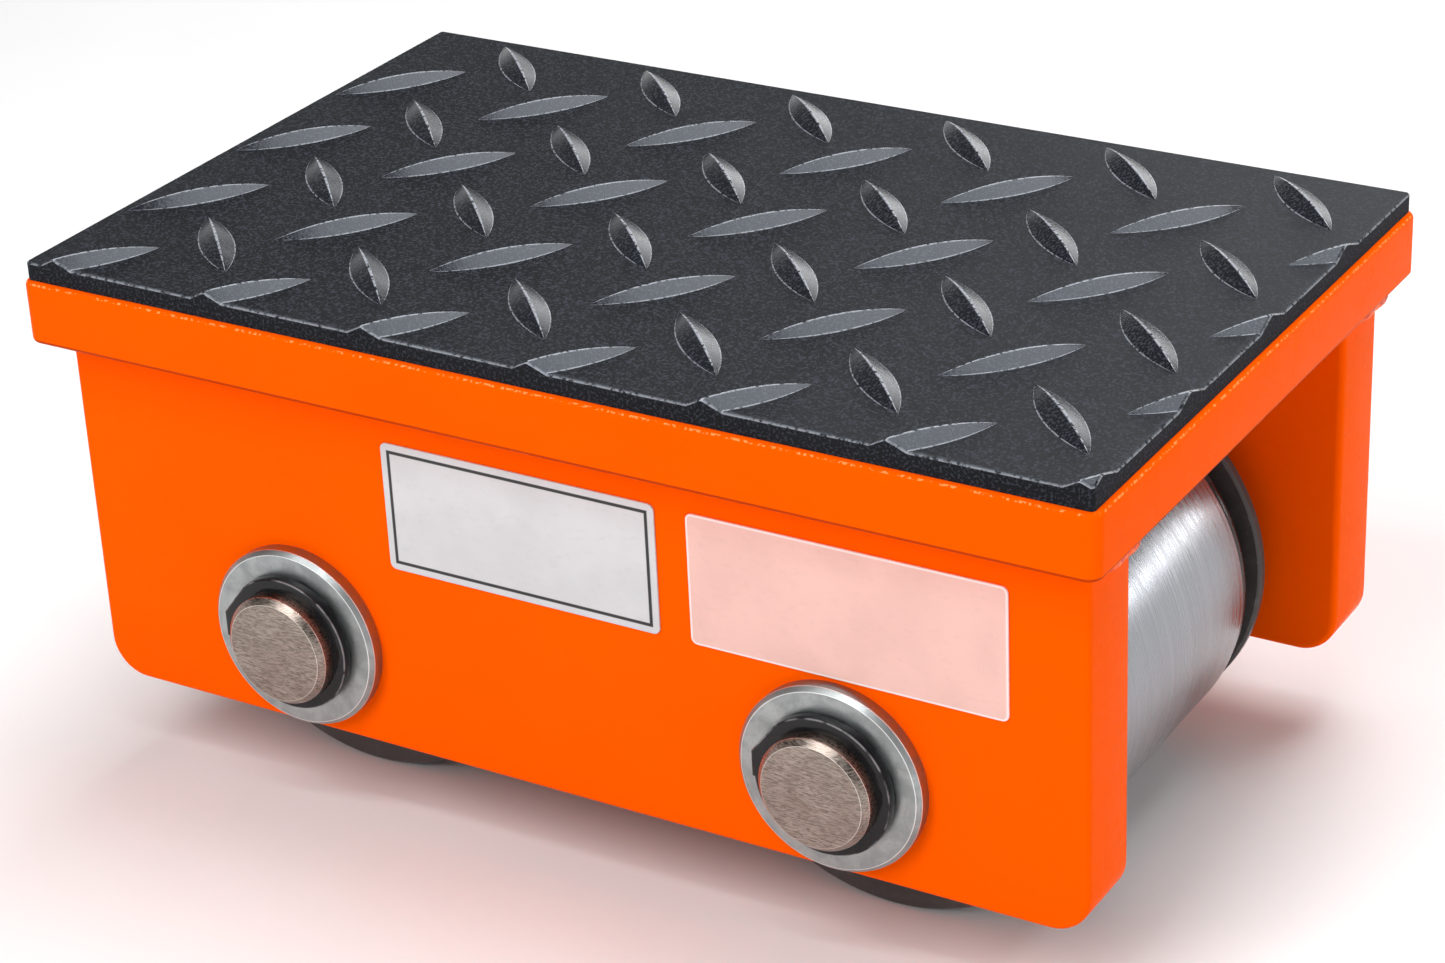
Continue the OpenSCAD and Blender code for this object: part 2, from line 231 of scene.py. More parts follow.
def painted_weld():
    """The same paint, glossier, over a rippled bead, with painted shade where its ripples dip and
    painted highlight specks on their crests.
    """
    paint = Finish("painted_weld", Metallic=0.0, IOR=1.3, Specular_Tint=PAINT_TINT)
    ripple_height = paint.noise(1.1 * MM, detail=3.0)
    # Painted shade: darker orange where the ripples are low. Painted highlight: pale specks where they
    # are high.
    shade = paint.mix(paint.ramp(ripple_height, 0.35, 0.6), (0.62, 0.04, 0.0), (1.0, 0.11, 0.0))
    paint.colour(paint.mix(paint.ramp(ripple_height, 0.6, 0.7, 0.0, 0.7), shade, (1.0, 0.36, 0.1)))
    paint.roughness(paint.ramp(paint.noise(2 * MM), 0.3, 0.7, 0.1, 0.22))
    paint.bump(ripple_height, 0.28 * MM)
    return paint.material


def tread_rubber():
    """Moulded black rubber: fine grain, smoother bars, broken pale lines of painted highlight along the
    bars and the pad's rim, and dark rough walls.
    """
    rubber = Finish("tread_rubber", Metallic=0.0, IOR=1.4, Specular_Tint=(0.82, 0.9, 1.0, 1.0))
    grain = rubber.noise(0.5 * MM, detail=2.0)
    specks = rubber.ramp(grain, 0.5, 0.62)
    dust = rubber.ramp(rubber.noise(22 * MM, detail=4.0), 0.35, 0.75)
    field = rubber.mix(specks, (0.001, 0.0012, 0.002), (0.024, 0.027, 0.036))
    field = rubber.mix(rubber.math("MULTIPLY", dust, 0.12), field, (0.018, 0.02, 0.024))
    worn_tone_and_highlight = rubber.mix(specks, (0.01, 0.0115, 0.015), (0.036, 0.04, 0.049))
    bar = rubber.attribute("bar")
    highlight_breaks = rubber.ramp(rubber.noise(0.8 * MM, detail=4.0), 0.36, 0.52)
    # Painted highlight: broken pale lines on the bars' ridges and outlines and along the pad's rim
    edge = rubber.math("MULTIPLY", rubber.attribute("edge"), highlight_breaks)
    rubber.colour(rubber.mix(edge, rubber.mix(bar, field, worn_tone_and_highlight), (0.34, 0.36, 0.4)))
    field_roughness = rubber.ramp(grain, 0.3, 0.7, 0.3, 0.4)
    smoother = rubber.ramp(bar, -1.0, 1.0, -0.55, 0.1)
    rubber.roughness(rubber.math("SUBTRACT", field_roughness, smoother))
    rubber.bump(grain, 0.016 * MM)
    rubber.bump(rubber.noise(3 * MM), 0.03 * MM)
    return rubber.material


def label_film(name, face, border, border_inset, border_width, box):
    """Satin printed film with a plain border line that follows the label's outline."""
    film = Finish(name, Metallic=0.0, IOR=1.46)
    half = box.size / 2
    reach = []
    for axis, centre, extent in (("X", box.centre.x, half.x), ("Z", box.centre.z, half.z)):
        offset = film.math("ABSOLUTE", film.math("SUBTRACT", film.axis(axis), centre))
        reach.append(film.math("SUBTRACT", offset, extent - LABEL_CORNER))
    squares = [film.math("POWER", film.math("MAXIMUM", r, 0.0), 2.0) for r in reach]
    corner = film.math("SQRT", film.math("ADD", squares[0], squares[1]))
    side = film.math("MINIMUM", film.math("MAXIMUM", reach[0], reach[1]), 0.0)
    inset = film.math("SUBTRACT", LABEL_CORNER, film.math("ADD", corner, side))
    off_line = film.math("ABSOLUTE", film.math("SUBTRACT", inset, border_inset))
    line = film.ramp(off_line, 0.35 * border_width, 0.65 * border_width, 1.0, 0.0)
    blotches = film.ramp(film.noise(9 * MM, detail=5.0), 0.35, 0.7)
    fibres = film.ramp(film.noise(0.7 * MM, stretch=(2.5, 1, 1), detail=4.0), 0.55, 0.75)
    soiled = [0.9 * channel for channel in face]
    ground = film.mix(film.math("MULTIPLY", blotches, 0.6), face, soiled)
    ground = film.mix(film.math("MULTIPLY", fibres, 0.25), ground, [0.78 * c for c in face])
    film.colour(film.mix(line, ground, border))
    film.roughness(film.ramp(blotches, 0.0, 1.0, 0.38, 0.5))
    film.bump(fibres, 0.006 * MM)
    return film.material


def label_white():
    box = Box("left_label")
    return label_film("label_white", (0.62, 0.62, 0.635), (0.02, 0.02, 0.022), 1.5 * MM, 0.6 * MM, box)


def label_pink():
    box = Box("right_label")
    return label_film("label_pink", (0.82, 0.5, 0.44), (0.86, 0.72, 0.7), 0.2 * MM, 0.4 * MM, box)


def axle_steel():
    """Bar steel, warm grey: straight scratches that waver across the turned ends."""
    steel = Finish("axle_steel", Metallic=1.0)
    scratches = steel.noise(0.18 * MM, stretch=(8, 3, 1), detail=2.0, distortion=0.8)
    stains = steel.ramp(steel.noise(5 * MM, detail=4.0), 0.3, 0.72)
    lines = steel.ramp(scratches, 0.36, 0.62)
    shade = steel.mix(lines, (0.19, 0.155, 0.13), (0.4, 0.345, 0.305))
    shade = steel.mix(steel.math("MULTIPLY", stains, 0.45), shade, (0.2, 0.155, 0.13))
    chamfer_highlight = steel.attribute("edge")
    # Painted highlight: pale on the rounded corners of the profile, such as the ends' chamfers
    steel.colour(steel.mix(chamfer_highlight, shade, (0.8, 0.74, 0.68)))
    steel.roughness(steel.ramp(scratches, 0.3, 0.7, 0.26, 0.42))
    steel.bump(scratches, 0.02 * MM)
    return steel.material


def zinc_washer():
    """Zinc plate: satin, faintly mottled, with a painted highlight on its rounded rims."""
    zinc = Finish("zinc_washer", Metallic=1.0)
    mottle = zinc.ramp(zinc.noise(4 * MM, detail=5.0, distortion=0.4), 0.32, 0.7)
    flecks = zinc.ramp(zinc.noise(0.5 * MM, detail=3.0), 0.5, 0.7)
    shade = zinc.mix(mottle, (0.3, 0.325, 0.325), (0.4, 0.43, 0.43))
    shade = zinc.mix(zinc.math("MULTIPLY", flecks, 0.3), shade, (0.24, 0.25, 0.25))
    # Painted highlight: near white on the rounded corners
    zinc.colour(zinc.mix(zinc.attribute("edge"), shade, (0.86, 0.87, 0.87)))
    zinc.roughness(zinc.ramp(mottle, 0.0, 1.0, 0.46, 0.34))
    zinc.bump(zinc.noise(0.6 * MM, detail=3.0), 0.014 * MM)
    return zinc.material


def black_spring_steel():
    """Black oxide under oil: dark, glossy, a little uneven, with painted highlights on its rounded
    edges.
    """
    oxide = Finish("black_spring_steel", Metallic=0.0, IOR=1.34)
    cloud = oxide.noise(3 * MM, detail=4.0)
    bevel_highlight = oxide.math("MULTIPLY", oxide.attribute("edge"), oxide.ramp(cloud, 0.4, 0.6))
    shade = oxide.mix(cloud, (0.004, 0.004, 0.005), (0.014, 0.014, 0.016))
    # Painted highlight: grey patches along the rounded edges
    oxide.colour(oxide.mix(bevel_highlight, shade, (0.2, 0.2, 0.21)))
    oxide.roughness(oxide.ramp(cloud, 0.3, 0.7, 0.1, 0.2))
    oxide.bump(oxide.noise(0.7 * MM), 0.012 * MM)
    return oxide.material


def roller_steel():
    """Bright steel ground round the roller: streaks at constant Y and faint bands."""
    steel = Finish("roller_steel", Metallic=1.0)
    streaks = steel.noise(0.22 * MM, stretch=(220, 1, 220), detail=4.0)
    bands = steel.ramp(steel.noise(3.5 * MM, stretch=(30, 1, 30), detail=3.0), 0.3, 0.7)
    wear_and_highlight = steel.ramp(steel.noise(16 * MM, detail=5.0), 0.4, 0.7)
    shade = steel.mix(streaks, (0.2, 0.208, 0.226), (0.42, 0.436, 0.465))
    shade = steel.mix(steel.math("MULTIPLY", bands, 0.25), shade, (0.2, 0.205, 0.22))
    shade = steel.mix(steel.math("MULTIPLY", wear_and_highlight, 0.3), shade, (0.22, 0.2, 0.19))
    # Painted highlight: pale on the rounded corners of the shell's profile
    steel.colour(steel.mix(steel.attribute("edge"), shade, (0.85, 0.85, 0.86)))
    steel.roughness(steel.ramp(streaks, 0.3, 0.7, 0.2, 0.36))
    steel.bump(streaks, 0.012 * MM)
    return steel.material


def black_flange():
    """Black satin coating on a turned disc, scuffed grey in places, with painted shade round the hub
    and painted highlights on its rounded rims.
    """
    coat = Finish("black_flange", Metallic=0.0, IOR=1.35)
    scuffs = coat.ramp(coat.noise(2.4 * MM, detail=5.0, distortion=0.8), 0.5, 0.72)
    turning = coat.noise(0.35 * MM, stretch=(60, 1, 60), detail=2.0)
    shade = coat.mix(turning, (0.046, 0.043, 0.043), (0.08, 0.075, 0.075))
    shade = coat.mix(coat.math("MULTIPLY", scuffs, 0.35), shade, (0.11, 0.105, 0.1))
    edge = coat.attribute("edge")
    # Painted shade: near black round the hub, by the groove at the roller's end
    shade = coat.mix(coat.ramp(edge, -1.0, 0.0, 1.0, 0.0), shade, (0.004, 0.004, 0.004))
    # Painted highlight: grey patches on the rounded rims
    coat.colour(coat.mix(coat.math("MULTIPLY", edge, scuffs, clamp=True), shade, (0.2, 0.2, 0.2)))
    coat.roughness(coat.ramp(scuffs, 0.0, 1.0, 0.34, 0.5))
    coat.bump(turning, 0.01 * MM)
    return coat.material


def dust_rubber():
    """Smooth black rubber with a slight bloom."""
    rubber = Finish("dust_rubber", Metallic=0.0, IOR=1.4)
    bloom = rubber.ramp(rubber.noise(5 * MM, detail=4.0), 0.4, 0.7)
    rubber.colour(rubber.mix(bloom, (0.01, 0.01, 0.011), (0.03, 0.03, 0.032)))
    rubber.roughness(rubber.ramp(bloom, 0.0, 1.0, 0.24, 0.42))
    rubber.bump(rubber.noise(0.5 * MM), 0.01 * MM)
    return rubber.material


def ground_metal(name, dark, light, roughest):
    """Ground metal inside the rollers: fine turned streaks and a film of oil."""
    metal = Finish(name, Metallic=1.0)
    streaks = metal.noise(0.3 * MM, stretch=(40, 1, 40), detail=3.0)
    oil = metal.ramp(metal.noise(4 * MM, detail=4.0), 0.35, 0.7)
    shade = metal.mix(streaks, dark, light)
    metal.colour(metal.mix(metal.math("MULTIPLY", oil, 0.3), shade, dark))
    metal.roughness(metal.ramp(oil, 0.0, 1.0, roughest, 0.5 * roughest))
    metal.bump(streaks, 0.008 * MM)
    return metal.material


def bearing_steel():
    return ground_metal("bearing_steel", (0.56, 0.56, 0.57), (0.78, 0.78, 0.79), 0.24)


def brass_cage():
    return ground_metal("brass_cage", (0.52, 0.36, 0.13), (0.75, 0.55, 0.22), 0.4)


def bearing_shield():
    return ground_metal("bearing_shield", (0.5, 0.5, 0.5), (0.68, 0.68, 0.69), 0.34)


def spacer_steel():
    return ground_metal("spacer_steel", (0.36, 0.36, 0.37), (0.55, 0.55, 0.56), 0.46)


def make_finishes():
    builders = (
        orange_paint, painted_weld, tread_rubber, label_white, label_pink, axle_steel, zinc_washer,
        black_spring_steel, roller_steel, black_flange, dust_rubber, bearing_steel, brass_cage,
        bearing_shield, spacer_steel,
    )
    return {builder.__name__: builder() for builder in builders}


FINISHES = make_finishes()


# ---- mesh helpers ----


def finish_piece(node, mesh_data, sharp_angle=32):
    """Makes the detailed piece that stands for a CAD node, on the node's body and in its finish."""
    mesh = mesh_data if isinstance(mesh_data, bpy.types.Mesh) else to_mesh(node, mesh_data)
    piece = bpy.data.objects.new(node + "_detail", mesh)
    bpy.context.scene.collection.objects.link(piece)
    mesh.materials.append(FINISHES[NODE_SLOT[node]])
    mesh.shade_smooth()
    mesh.set_sharp_from_angle(angle=math.radians(sharp_angle))
    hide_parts(node)
    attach(piece, NODE_BODY[node])
    return piece


def to_mesh(name, bm):
    bmesh.ops.recalc_face_normals(bm, faces=bm.faces)
    mesh = bpy.data.meshes.new(name + "_detail")
    bm.to_mesh(mesh)
    bm.free()
    return mesh


def new_bmesh(*layers):
    """An empty bmesh with a float layer for each name."""
    bm = bmesh.new()
    for layer in layers:
        bm.verts.layers.float.new(layer)
    return bm


def add_ring(bm, points, edge=0.0):
    """Adds a closed loop of vertices, all with the same value on the edge layer."""
    layer = bm.verts.layers.float["edge"]
    ring = [bm.verts.new(point) for point in points]
    for vertex in ring:
        vertex[layer] = edge
    return ring


def bridge(bm, first, second):
    """Joins two loops of equal length with quads."""
    for i in range(len(first)):
        j = (i + 1) % len(first)
        bm.faces.new((first[i], first[j], second[j], second[i]))


def rounded_outline(half_width, half_height, radius, steps=8):
    """Points round a rectangle with round corners, centred on the origin."""
    points = []
    for quarter, (x, y) in enumerate(((1, 1), (-1, 1), (-1, -1), (1, -1))):
        for step in range(steps + 1):
            angle = math.pi / 2 * (quarter + step / steps)
            points.append(
                (
                    x * (half_width - radius) + radius * math.cos(angle),
                    y * (half_height - radius) + radius * math.sin(angle),
                )
            )
    return points


def edge_rows(radius, steps=6):
    """(depth below the face, inset from the side) for rows round an edge, from the face outwards."""
    rows = []
    for step in range(steps + 1):
        angle = math.pi / 2 * step / steps
        rows.append((radius * (1 - math.cos(angle)), radius * (1 - math.sin(angle))))
    return rows


def slab_edge(on_near_side, share):
    """The edge layer on a row of a slab, from the row's share of the way in from the side."""
    if on_near_side:
        return 1.0 if 0.1 < share < 0.4 else 0.0
    return -1.0 if 0.01 < share < 0.6 else 0.0


def slab(bm, half_width, half_height, thickness, corner, edge_radius, place):
    """A plate with round corners and edges. place turns its (x, y, depth) into a point.

    The edge layer is 1 along its outer edge and -1 along the far one; the orange paint turns these into
    a painted highlight and painted shade.
    """
    rows = edge_rows(edge_radius)
    mirrored = [(thickness - depth, inset) for depth, inset in reversed(rows)]
    rings = []
    for depth, inset in rows + mirrored:
        radius = max(corner - inset, 0.2 * corner)
        outline = rounded_outline(half_width - inset, half_height - inset, radius)
        value = slab_edge(depth < thickness / 2, inset / edge_radius)
        rings.append(add_ring(bm, [place(x, y, depth) for x, y in outline], value))
    for first, second in zip(rings, rings[1:]):
        bridge(bm, first, second)
    bm.faces.new(rings[0])
    bm.faces.new(rings[-1])


def axle_of(node):
    """Centre of the axle on the node's side."""
    return AXLE_CENTRE[node.split("_")[0]]


def from_axis(vertex, axis):
    """Distance of a vertex from an axle's centre line."""
    return math.hypot(vertex.co.x - axis.x, vertex.co.z - axis.z)


def both_ends(half, middle=0.0):
    """A closed profile from its rear half, whose (radius, y) points count y from the middle."""
    rear = [(radius, middle + y) for radius, y in half]
    front = [(radius, middle - y) for radius, y in reversed(half)]
    return rear + front


def rounded_profile(corners, radius, steps=3):
    """A closed profile with each corner rounded, as points (radius, y, whether it is on a rounding)."""
    points = []
    count = len(corners)
    for i, corner in enumerate(corners):
        here = Vector(corner)
        before = Vector(corners[i - 1])
        after = Vector(corners[(i + 1) % count])
        back = (before - here).normalized()
        ahead = (after - here).normalized()
        turn = back.angle(ahead)
        shorter = min((before - here).length, (after - here).length)
        reach = min(radius / math.tan(turn / 2), 0.4 * shorter)
        for step in range(steps + 1):
            t = step / steps
            start, end = here + back * reach, here + ahead * reach
            point = start.lerp(here, t).lerp(here.lerp(end, t), t)
            points.append((point.x, point.y, 1.0 if 0 < step < steps else 0.0))
    return points


def turned(node, corners, rounding, segments=160):
    """A body turned about the node's axle, from a closed (radius, y) profile."""
    axis = axle_of(node)
    bm = new_bmesh("edge")
    rings = []
    for radius, y, on_edge in rounded_profile(corners, rounding):
        points = []
        for segment in range(segments):
            angle = 2 * math.pi * segment / segments
            points.append((axis.x + radius * math.cos(angle), y, axis.z + radius * math.sin(angle)))
        rings.append(add_ring(bm, points, on_edge))
    for first, second in zip(rings, rings[1:] + rings[:1]):
        bridge(bm, first, second)
    return bm


# ---- deck, side plates and welds ----


def make_deck():
    bm = new_bmesh("edge")
    half = DECK.size / 2

    def place(x, y, depth):
        return (DECK.centre.x + x, DECK.centre.y + y, DECK.high.z - depth)

    slab(bm, half.x, half.y, DECK.size.z, DECK_CORNER, DECK_EDGE, place)
    return finish_piece("deck_plate", bm)


def plate_outline(box, inset, steps=10):
    """(x, z) points round a side plate: lower corners round, top edge straight under the deck."""
    left, right = box.low.x + inset, box.high.x - inset
    bottom, radius = box.low.z + inset, PLATE_CORNER - inset
    points = [(right, box.high.z), (left, box.high.z)]
    for x, start in ((left + radius, math.pi), (right - radius, 1.5 * math.pi)):
        for step in range(steps + 1):
            angle = start + math.pi / 2 * step / steps
            points.append((x + radius * math.cos(angle), bottom + radius + radius * math.sin(angle)))
    return points


def circle(centre, radius, y, segments=64):
    points = []
    for segment in range(segments):
        angle = 2 * math.pi * segment / segments
        points.append((centre.x + radius * math.cos(angle), y, centre.z + radius * math.sin(angle)))
    return points


def open_edges(bm):
    """The edges that have a face on one side only."""
    return [edge for edge in bm.edges if edge.is_boundary]


def loop_edges(bm, ring):
    return [bm.edges.get((ring[i - 1], ring[i])) for i in range(len(ring))]


def make_side_plate(node):
    """A plate with its long edges rounded and a hole for each axle."""
    box = Box(node)
    bm = new_bmesh("edge")
    rows = edge_rows(PLATE_EDGE)
    mirrored = [(box.size.y - depth, inset) for depth, inset in reversed(rows)]
    rings = []
    for depth, inset in rows + mirrored:
        rings.append(add_ring(bm, [(x, box.low.y + depth, z) for x, z in plate_outline(box, inset)]))
    for first, second in zip(rings, rings[1:]):
        bridge(bm, first, second)
    holes = []
    for side in SIDES:
        axis = Box(side + "_axle").centre
        hole = [add_ring(bm, circle(axis, AXLE_RADIUS, y)) for y in (box.low.y, box.high.y)]
        bridge(bm, hole[0], hole[1])
        holes.append(hole)
    for face, ring in ((0, rings[0]), (1, rings[-1])):
        edges = loop_edges(bm, ring)
        for hole in holes:
            edges += loop_edges(bm, hole[face])
        bmesh.ops.triangle_fill(bm, edges=edges, use_beauty=True)
    return finish_piece(node, bm)


def weld_bead(bm, start, along, across, length, leg, steps_round=8):
    """A rippled fillet under the deck. across points along the deck, away from the plate."""
    down = Vector((0, 0, -1))
    per_ripple = 8
    count = int(length / WELD_RIPPLE) * per_ripple
    rings = []
    for i in range(count + 1):
        distance = length * i / count
        from_end = min(distance, length - distance)
        taper = math.sqrt(max(1 - max(1 - from_end / leg, 0) ** 2, 0.02))
        ring = [start + along * distance]
        for step in range(steps_round + 1):
            angle = math.pi / 2 * step / steps_round
            bow = 0.3 * math.sin(2 * angle)
            ripple = abs(math.sin(math.pi * (distance / WELD_RIPPLE + bow)))
            swell = 0.03 * math.sin(2 * math.pi * distance / (4.3 * WELD_RIPPLE))
            radius = leg * taper * (0.87 + 0.1 * math.sqrt(ripple) + swell)
            offset = across * math.cos(angle) + down * math.sin(angle)
            ring.append(ring[0] + offset * radius)
        rings.append(add_ring(bm, ring))
    for first, second in zip(rings, rings[1:]):
        bridge(bm, first, second)
    bm.faces.new(rings[0])
    bm.faces.new(rings[-1])


def make_end_welds(node, plate):
    box = Box(node)
    bm = new_bmesh("edge")
    leg = box.size.z
    for x, outward in ((plate.low.x, -1), (plate.high.x, 1)):
        start = Vector((x, box.low.y, box.high.z))
        across = Vector((outward, 0, 0))
        weld_bead(bm, start, Vector((0, 1, 0)), across, box.size.y, leg)
    return finish_piece(node, bm, 60)


def make_inner_weld(node, inward):
    box = Box(node)
    bm = new_bmesh("edge")
    corner_y = box.low.y if inward > 0 else box.high.y
    start = Vector((box.low.x, corner_y, box.high.z))
    across = Vector((0, inward, 0))
    weld_bead(bm, start, Vector((1, 0, 0)), across, box.size.x, box.size.y)
    return finish_piece(node, bm, 60)


# ---- tread pad ----


class TreadBar:
    """A pointed bar: two sloping flanks that meet on a narrow flat ridge."""

    def __init__(self, x, y, angle):
        self.centre = Vector((x, y))
        self.along = Vector((math.cos(angle), math.sin(angle)))
        self.across = Vector((-math.sin(angle), math.cos(angle)))
        self.bow = (BAR_LENGTH**2 + BAR_WIDTH**2) / (4 * BAR_WIDTH)

    def half_width(self, distance):
        """Half the bar's width at a distance from its middle, along the bar."""
        return math.sqrt(max(self.bow**2 - distance**2, 0.0)) - (self.bow - BAR_WIDTH / 2)

    def point(self, distance, share):
        return self.centre + self.along * distance + self.across * (share * self.half_width(distance))

    def height(self, place):
        """Height above the pad, or None outside the bar."""
        offset = place - self.centre
        distance, side = offset.dot(self.along), offset.dot(self.across)
        half = self.half_width(distance)
        if abs(distance) > BAR_LENGTH / 2 + 1e-7 or half < 1e-7 or abs(side) > half + 1e-7:
            return None
        slope = min((1 - abs(side) / half) / (1 - BAR_RIDGE), 1.0)
        return BAR_HEIGHT * (half / (BAR_WIDTH / 2)) * max(slope, 0.0)


def bar_grid(first, angle):
    """Bars on a grid from first to the pad's front and right edges."""
    reach_x = BAR_LENGTH / 2 * abs(math.cos(angle)) - 1 * MM
    reach_y = BAR_LENGTH / 2 * abs(math.sin(angle)) - 1 * MM
    bars = []
    x = first.x
    while x <= DECK.high.x + reach_x:
        y = first.y
        while y >= DECK.low.y - reach_y:
            bars.append(TreadBar(x, y, angle))
            y -= BAR_PITCH.y
        x += BAR_PITCH.x
    return bars


def tread_bars():
    corner = Vector((DECK.low.x + BAR_MARGIN_LEFT, DECK.high.y - BAR_MARGIN_REAR))
    rising = bar_grid(corner - Vector((0, BAR_PITCH.y / 2)), RISING_ANGLE)
    falling = bar_grid(corner + Vector((BAR_PITCH.x / 2, 0)), -FALLING_ANGLE)
    return rising + falling


# Lines along a bar: share of its half width, and how strong the painted highlight is there
BAR_LINES = ((1.0, 0.0), (0.96, 0.85), (0.9, 0.0), (2.2 * BAR_RIDGE, 0.0), (BAR_RIDGE, 1.0))
BAR_SHARES = [-share for share, _ in BAR_LINES] + [share for share, _ in reversed(BAR_LINES)]


def bar_lines(bar, points, edges, steps=22):
    """Adds a bar's outline, ridge and near-edge lines to the plan of the pad."""
    tips = []
    for end in (-1, 1):
        tips.append(len(points))
        points.append(bar.centre + bar.along * (end * BAR_LENGTH / 2))
    for share in BAR_SHARES:
        line = [tips[0]]
        for step in range(1, steps):
            line.append(len(points))
            points.append(bar.point(BAR_LENGTH / 2 * -math.cos(math.pi * step / steps), share))
        line.append(tips[1])
        edges += list(zip(line, line[1:]))


def pad_plan(bars):
    """Triangles of the pad seen from above, with every line of the bars kept."""
    half = PAD.size / 2
    points, edges = [], []
    outlines = []
    for inset in (0.0, PAD_EDGE):
        ring = []
        for x, y in rounded_outline(half.x - inset, half.y - inset, PAD_CORNER - inset):
            ring.append(len(points))
            points.append(Vector((PAD.centre.x + x, PAD.centre.y + y)))
        edges += list(zip(ring, ring[1:] + ring[:1]))
        outlines.append(ring)
    for bar in bars:
        bar_lines(bar, points, edges)
    plan = delaunay_2d_cdt(points, edges, [outlines[0]], 0, 1e-7)
    inside = [face for face, origin in zip(plan[2], plan[5]) if origin]
    return plan[0], inside


def outline_distance(place):
    """Distance in from the pad's outline."""
    offset = place - PAD.centre.xy
    straight = PAD.size.xy / 2 - Vector((PAD_CORNER, PAD_CORNER))
    reach = Vector((abs(offset.x), abs(offset.y))) - straight
    outside = Vector((max(reach.x, 0), max(reach.y, 0))).length
    return PAD_CORNER - outside - min(max(reach.x, reach.y), 0)


def wear_and_highlight(share):
    """How strong a bar's painted highlight is at a share of its half width."""
    for (outer, outer_wear), (inner, inner_wear) in zip(BAR_LINES, BAR_LINES[1:]):
        if share >= inner:
            return inner_wear + (outer_wear - inner_wear) * (share - inner) / (outer - inner)
    return BAR_LINES[-1][1]


def bar_under(place, bars):
    """(height, share of the half width) of the bar at a place, or (0, None) on the pad's field."""
    for bar in bars:
        if (place - bar.centre).length_squared < (BAR_LENGTH / 2) ** 2:
            height = bar.height(place)
            if height is not None:
                side = abs((place - bar.centre).dot(bar.across))
                half = bar.half_width((place - bar.centre).dot(bar.along))
                return height, side / half
    return 0.0, None


def make_tread_pad():
    """The pad as one closed sheet: field and bars on top, walls down to the deck."""
    bars = tread_bars()
    plan, triangles = pad_plan(bars)
    bm = new_bmesh("edge", "bar")
    edge, bar_layer = bm.verts.layers.float["edge"], bm.verts.layers.float["bar"]
    field_z = PAD.high.z - BAR_HEIGHT
    top = {}
    for face in triangles:
        for i in face:
            if i not in top:
                place = Vector(plan[i])
                height, share = bar_under(place, bars)
                margin = outline_distance(place)
                drop = PAD_EDGE * (1 - min(margin / PAD_EDGE, 1.0))
                top[i] = bm.verts.new((place.x, place.y, field_z + height - drop))
                bar_highlight = 0.0 if share is None else wear_and_highlight(share)
                # The edge layer carries the painted highlight: the bar's value, or 0.7 along the pad's
                # rim
                top[i][edge] = max(bar_highlight, 0.7 * (1 - min(margin / PAD_EDGE, 1.0)))
                top[i][bar_layer] = 1.0 if share is not None and share < 0.99 else 0.0
    for face in triangles:
        bm.faces.new([top[i] for i in face])
    # A narrow row of wall first, so that the rim's painted highlight fades quickly, and then the rest
    # of it
    for lowered in (lambda z: z - RIM_HIGHLIGHT_FADE, lambda z: PAD.low.z):
        wall = bmesh.ops.extrude_edge_only(bm, edges=open_edges(bm))["geom"]
        for vertex in [v for v in wall if isinstance(v, bmesh.types.BMVert)]:
            vertex.co.z = lowered(vertex.co.z)
            vertex[edge] = 0.0
            vertex[bar_layer] = -1.0
    bmesh.ops.contextual_create(bm, geom=open_edges(bm))
    return finish_piece("tread_pad", bm, 18)


# ---- labels ----


def make_label(node):
    box = Box(node)
    bm = new_bmesh("edge")
    half = box.size / 2

    def place(x, z, depth):
        return (box.centre.x + x, box.low.y + depth, box.centre.z + z)

    slab(bm, half.x, half.z, box.size.y, LABEL_CORNER, 0.12 * MM, place)
    return finish_piece(node, bm)


# ---- axles and what holds them ----


def make_axle(side):
    """A plain bar with chamfered ends and a groove for each retaining ring."""
    node = side + "_axle"
    end_y = Box(node).high.y
    chamfer = 1.0 * MM
    ring = Box(side + "_rear_retaining_ring")
    groove = AXLE_RADIUS - RING_GROOVE
    # The profile stops short of the axis, and plug_centre closes what that leaves open
    core = 0.25 * MM
    half = [
        (core, end_y),
        (AXLE_RADIUS - chamfer, end_y),
        (AXLE_RADIUS, end_y - chamfer),
        (AXLE_RADIUS, ring.high.y),
        (groove, ring.high.y),
        (groove, ring.low.y),
        (AXLE_RADIUS, ring.low.y),
    ]
    bm = turned(node, both_ends(half), 0.15 * MM)
    plug_centre(bm, axle_of(node), 2 * core)
    return finish_piece(node, bm, 30)


def plug_centre(bm, axis, radius):
    """Removes a turned body's inner wall and closes its two ends."""
    inner = [face for face in bm.faces if all(from_axis(v, axis) < radius for v in face.verts)]
    bmesh.ops.delete(bm, geom=inner, context="FACES")
    bmesh.ops.holes_fill(bm, edges=open_edges(bm), sides=0)


def make_washer(node, end):
    box = Box(node)
    radius = box.size.x / 2
    outer, inner = (box.high.y, box.low.y) if end > 0 else (box.low.y, box.high.y)
    chamfer = box.size.y / 4
    profile = [
        (AXLE_RADIUS, inner),
        (radius, inner),
        (radius, outer - end * chamfer),
        (radius - chamfer, outer),
        (AXLE_RADIUS, outer),
    ]
    return finish_piece(node, turned(node, profile, 0.25 * MM), 30)


def arc(radius, start, end, steps):
    """(x, up) points along an arc about the origin; the angles are in radians."""
    angles = [start + (end - start) * step / steps for step in range(steps + 1)]
    return [(radius * math.cos(angle), radius * math.sin(angle)) for angle in angles]


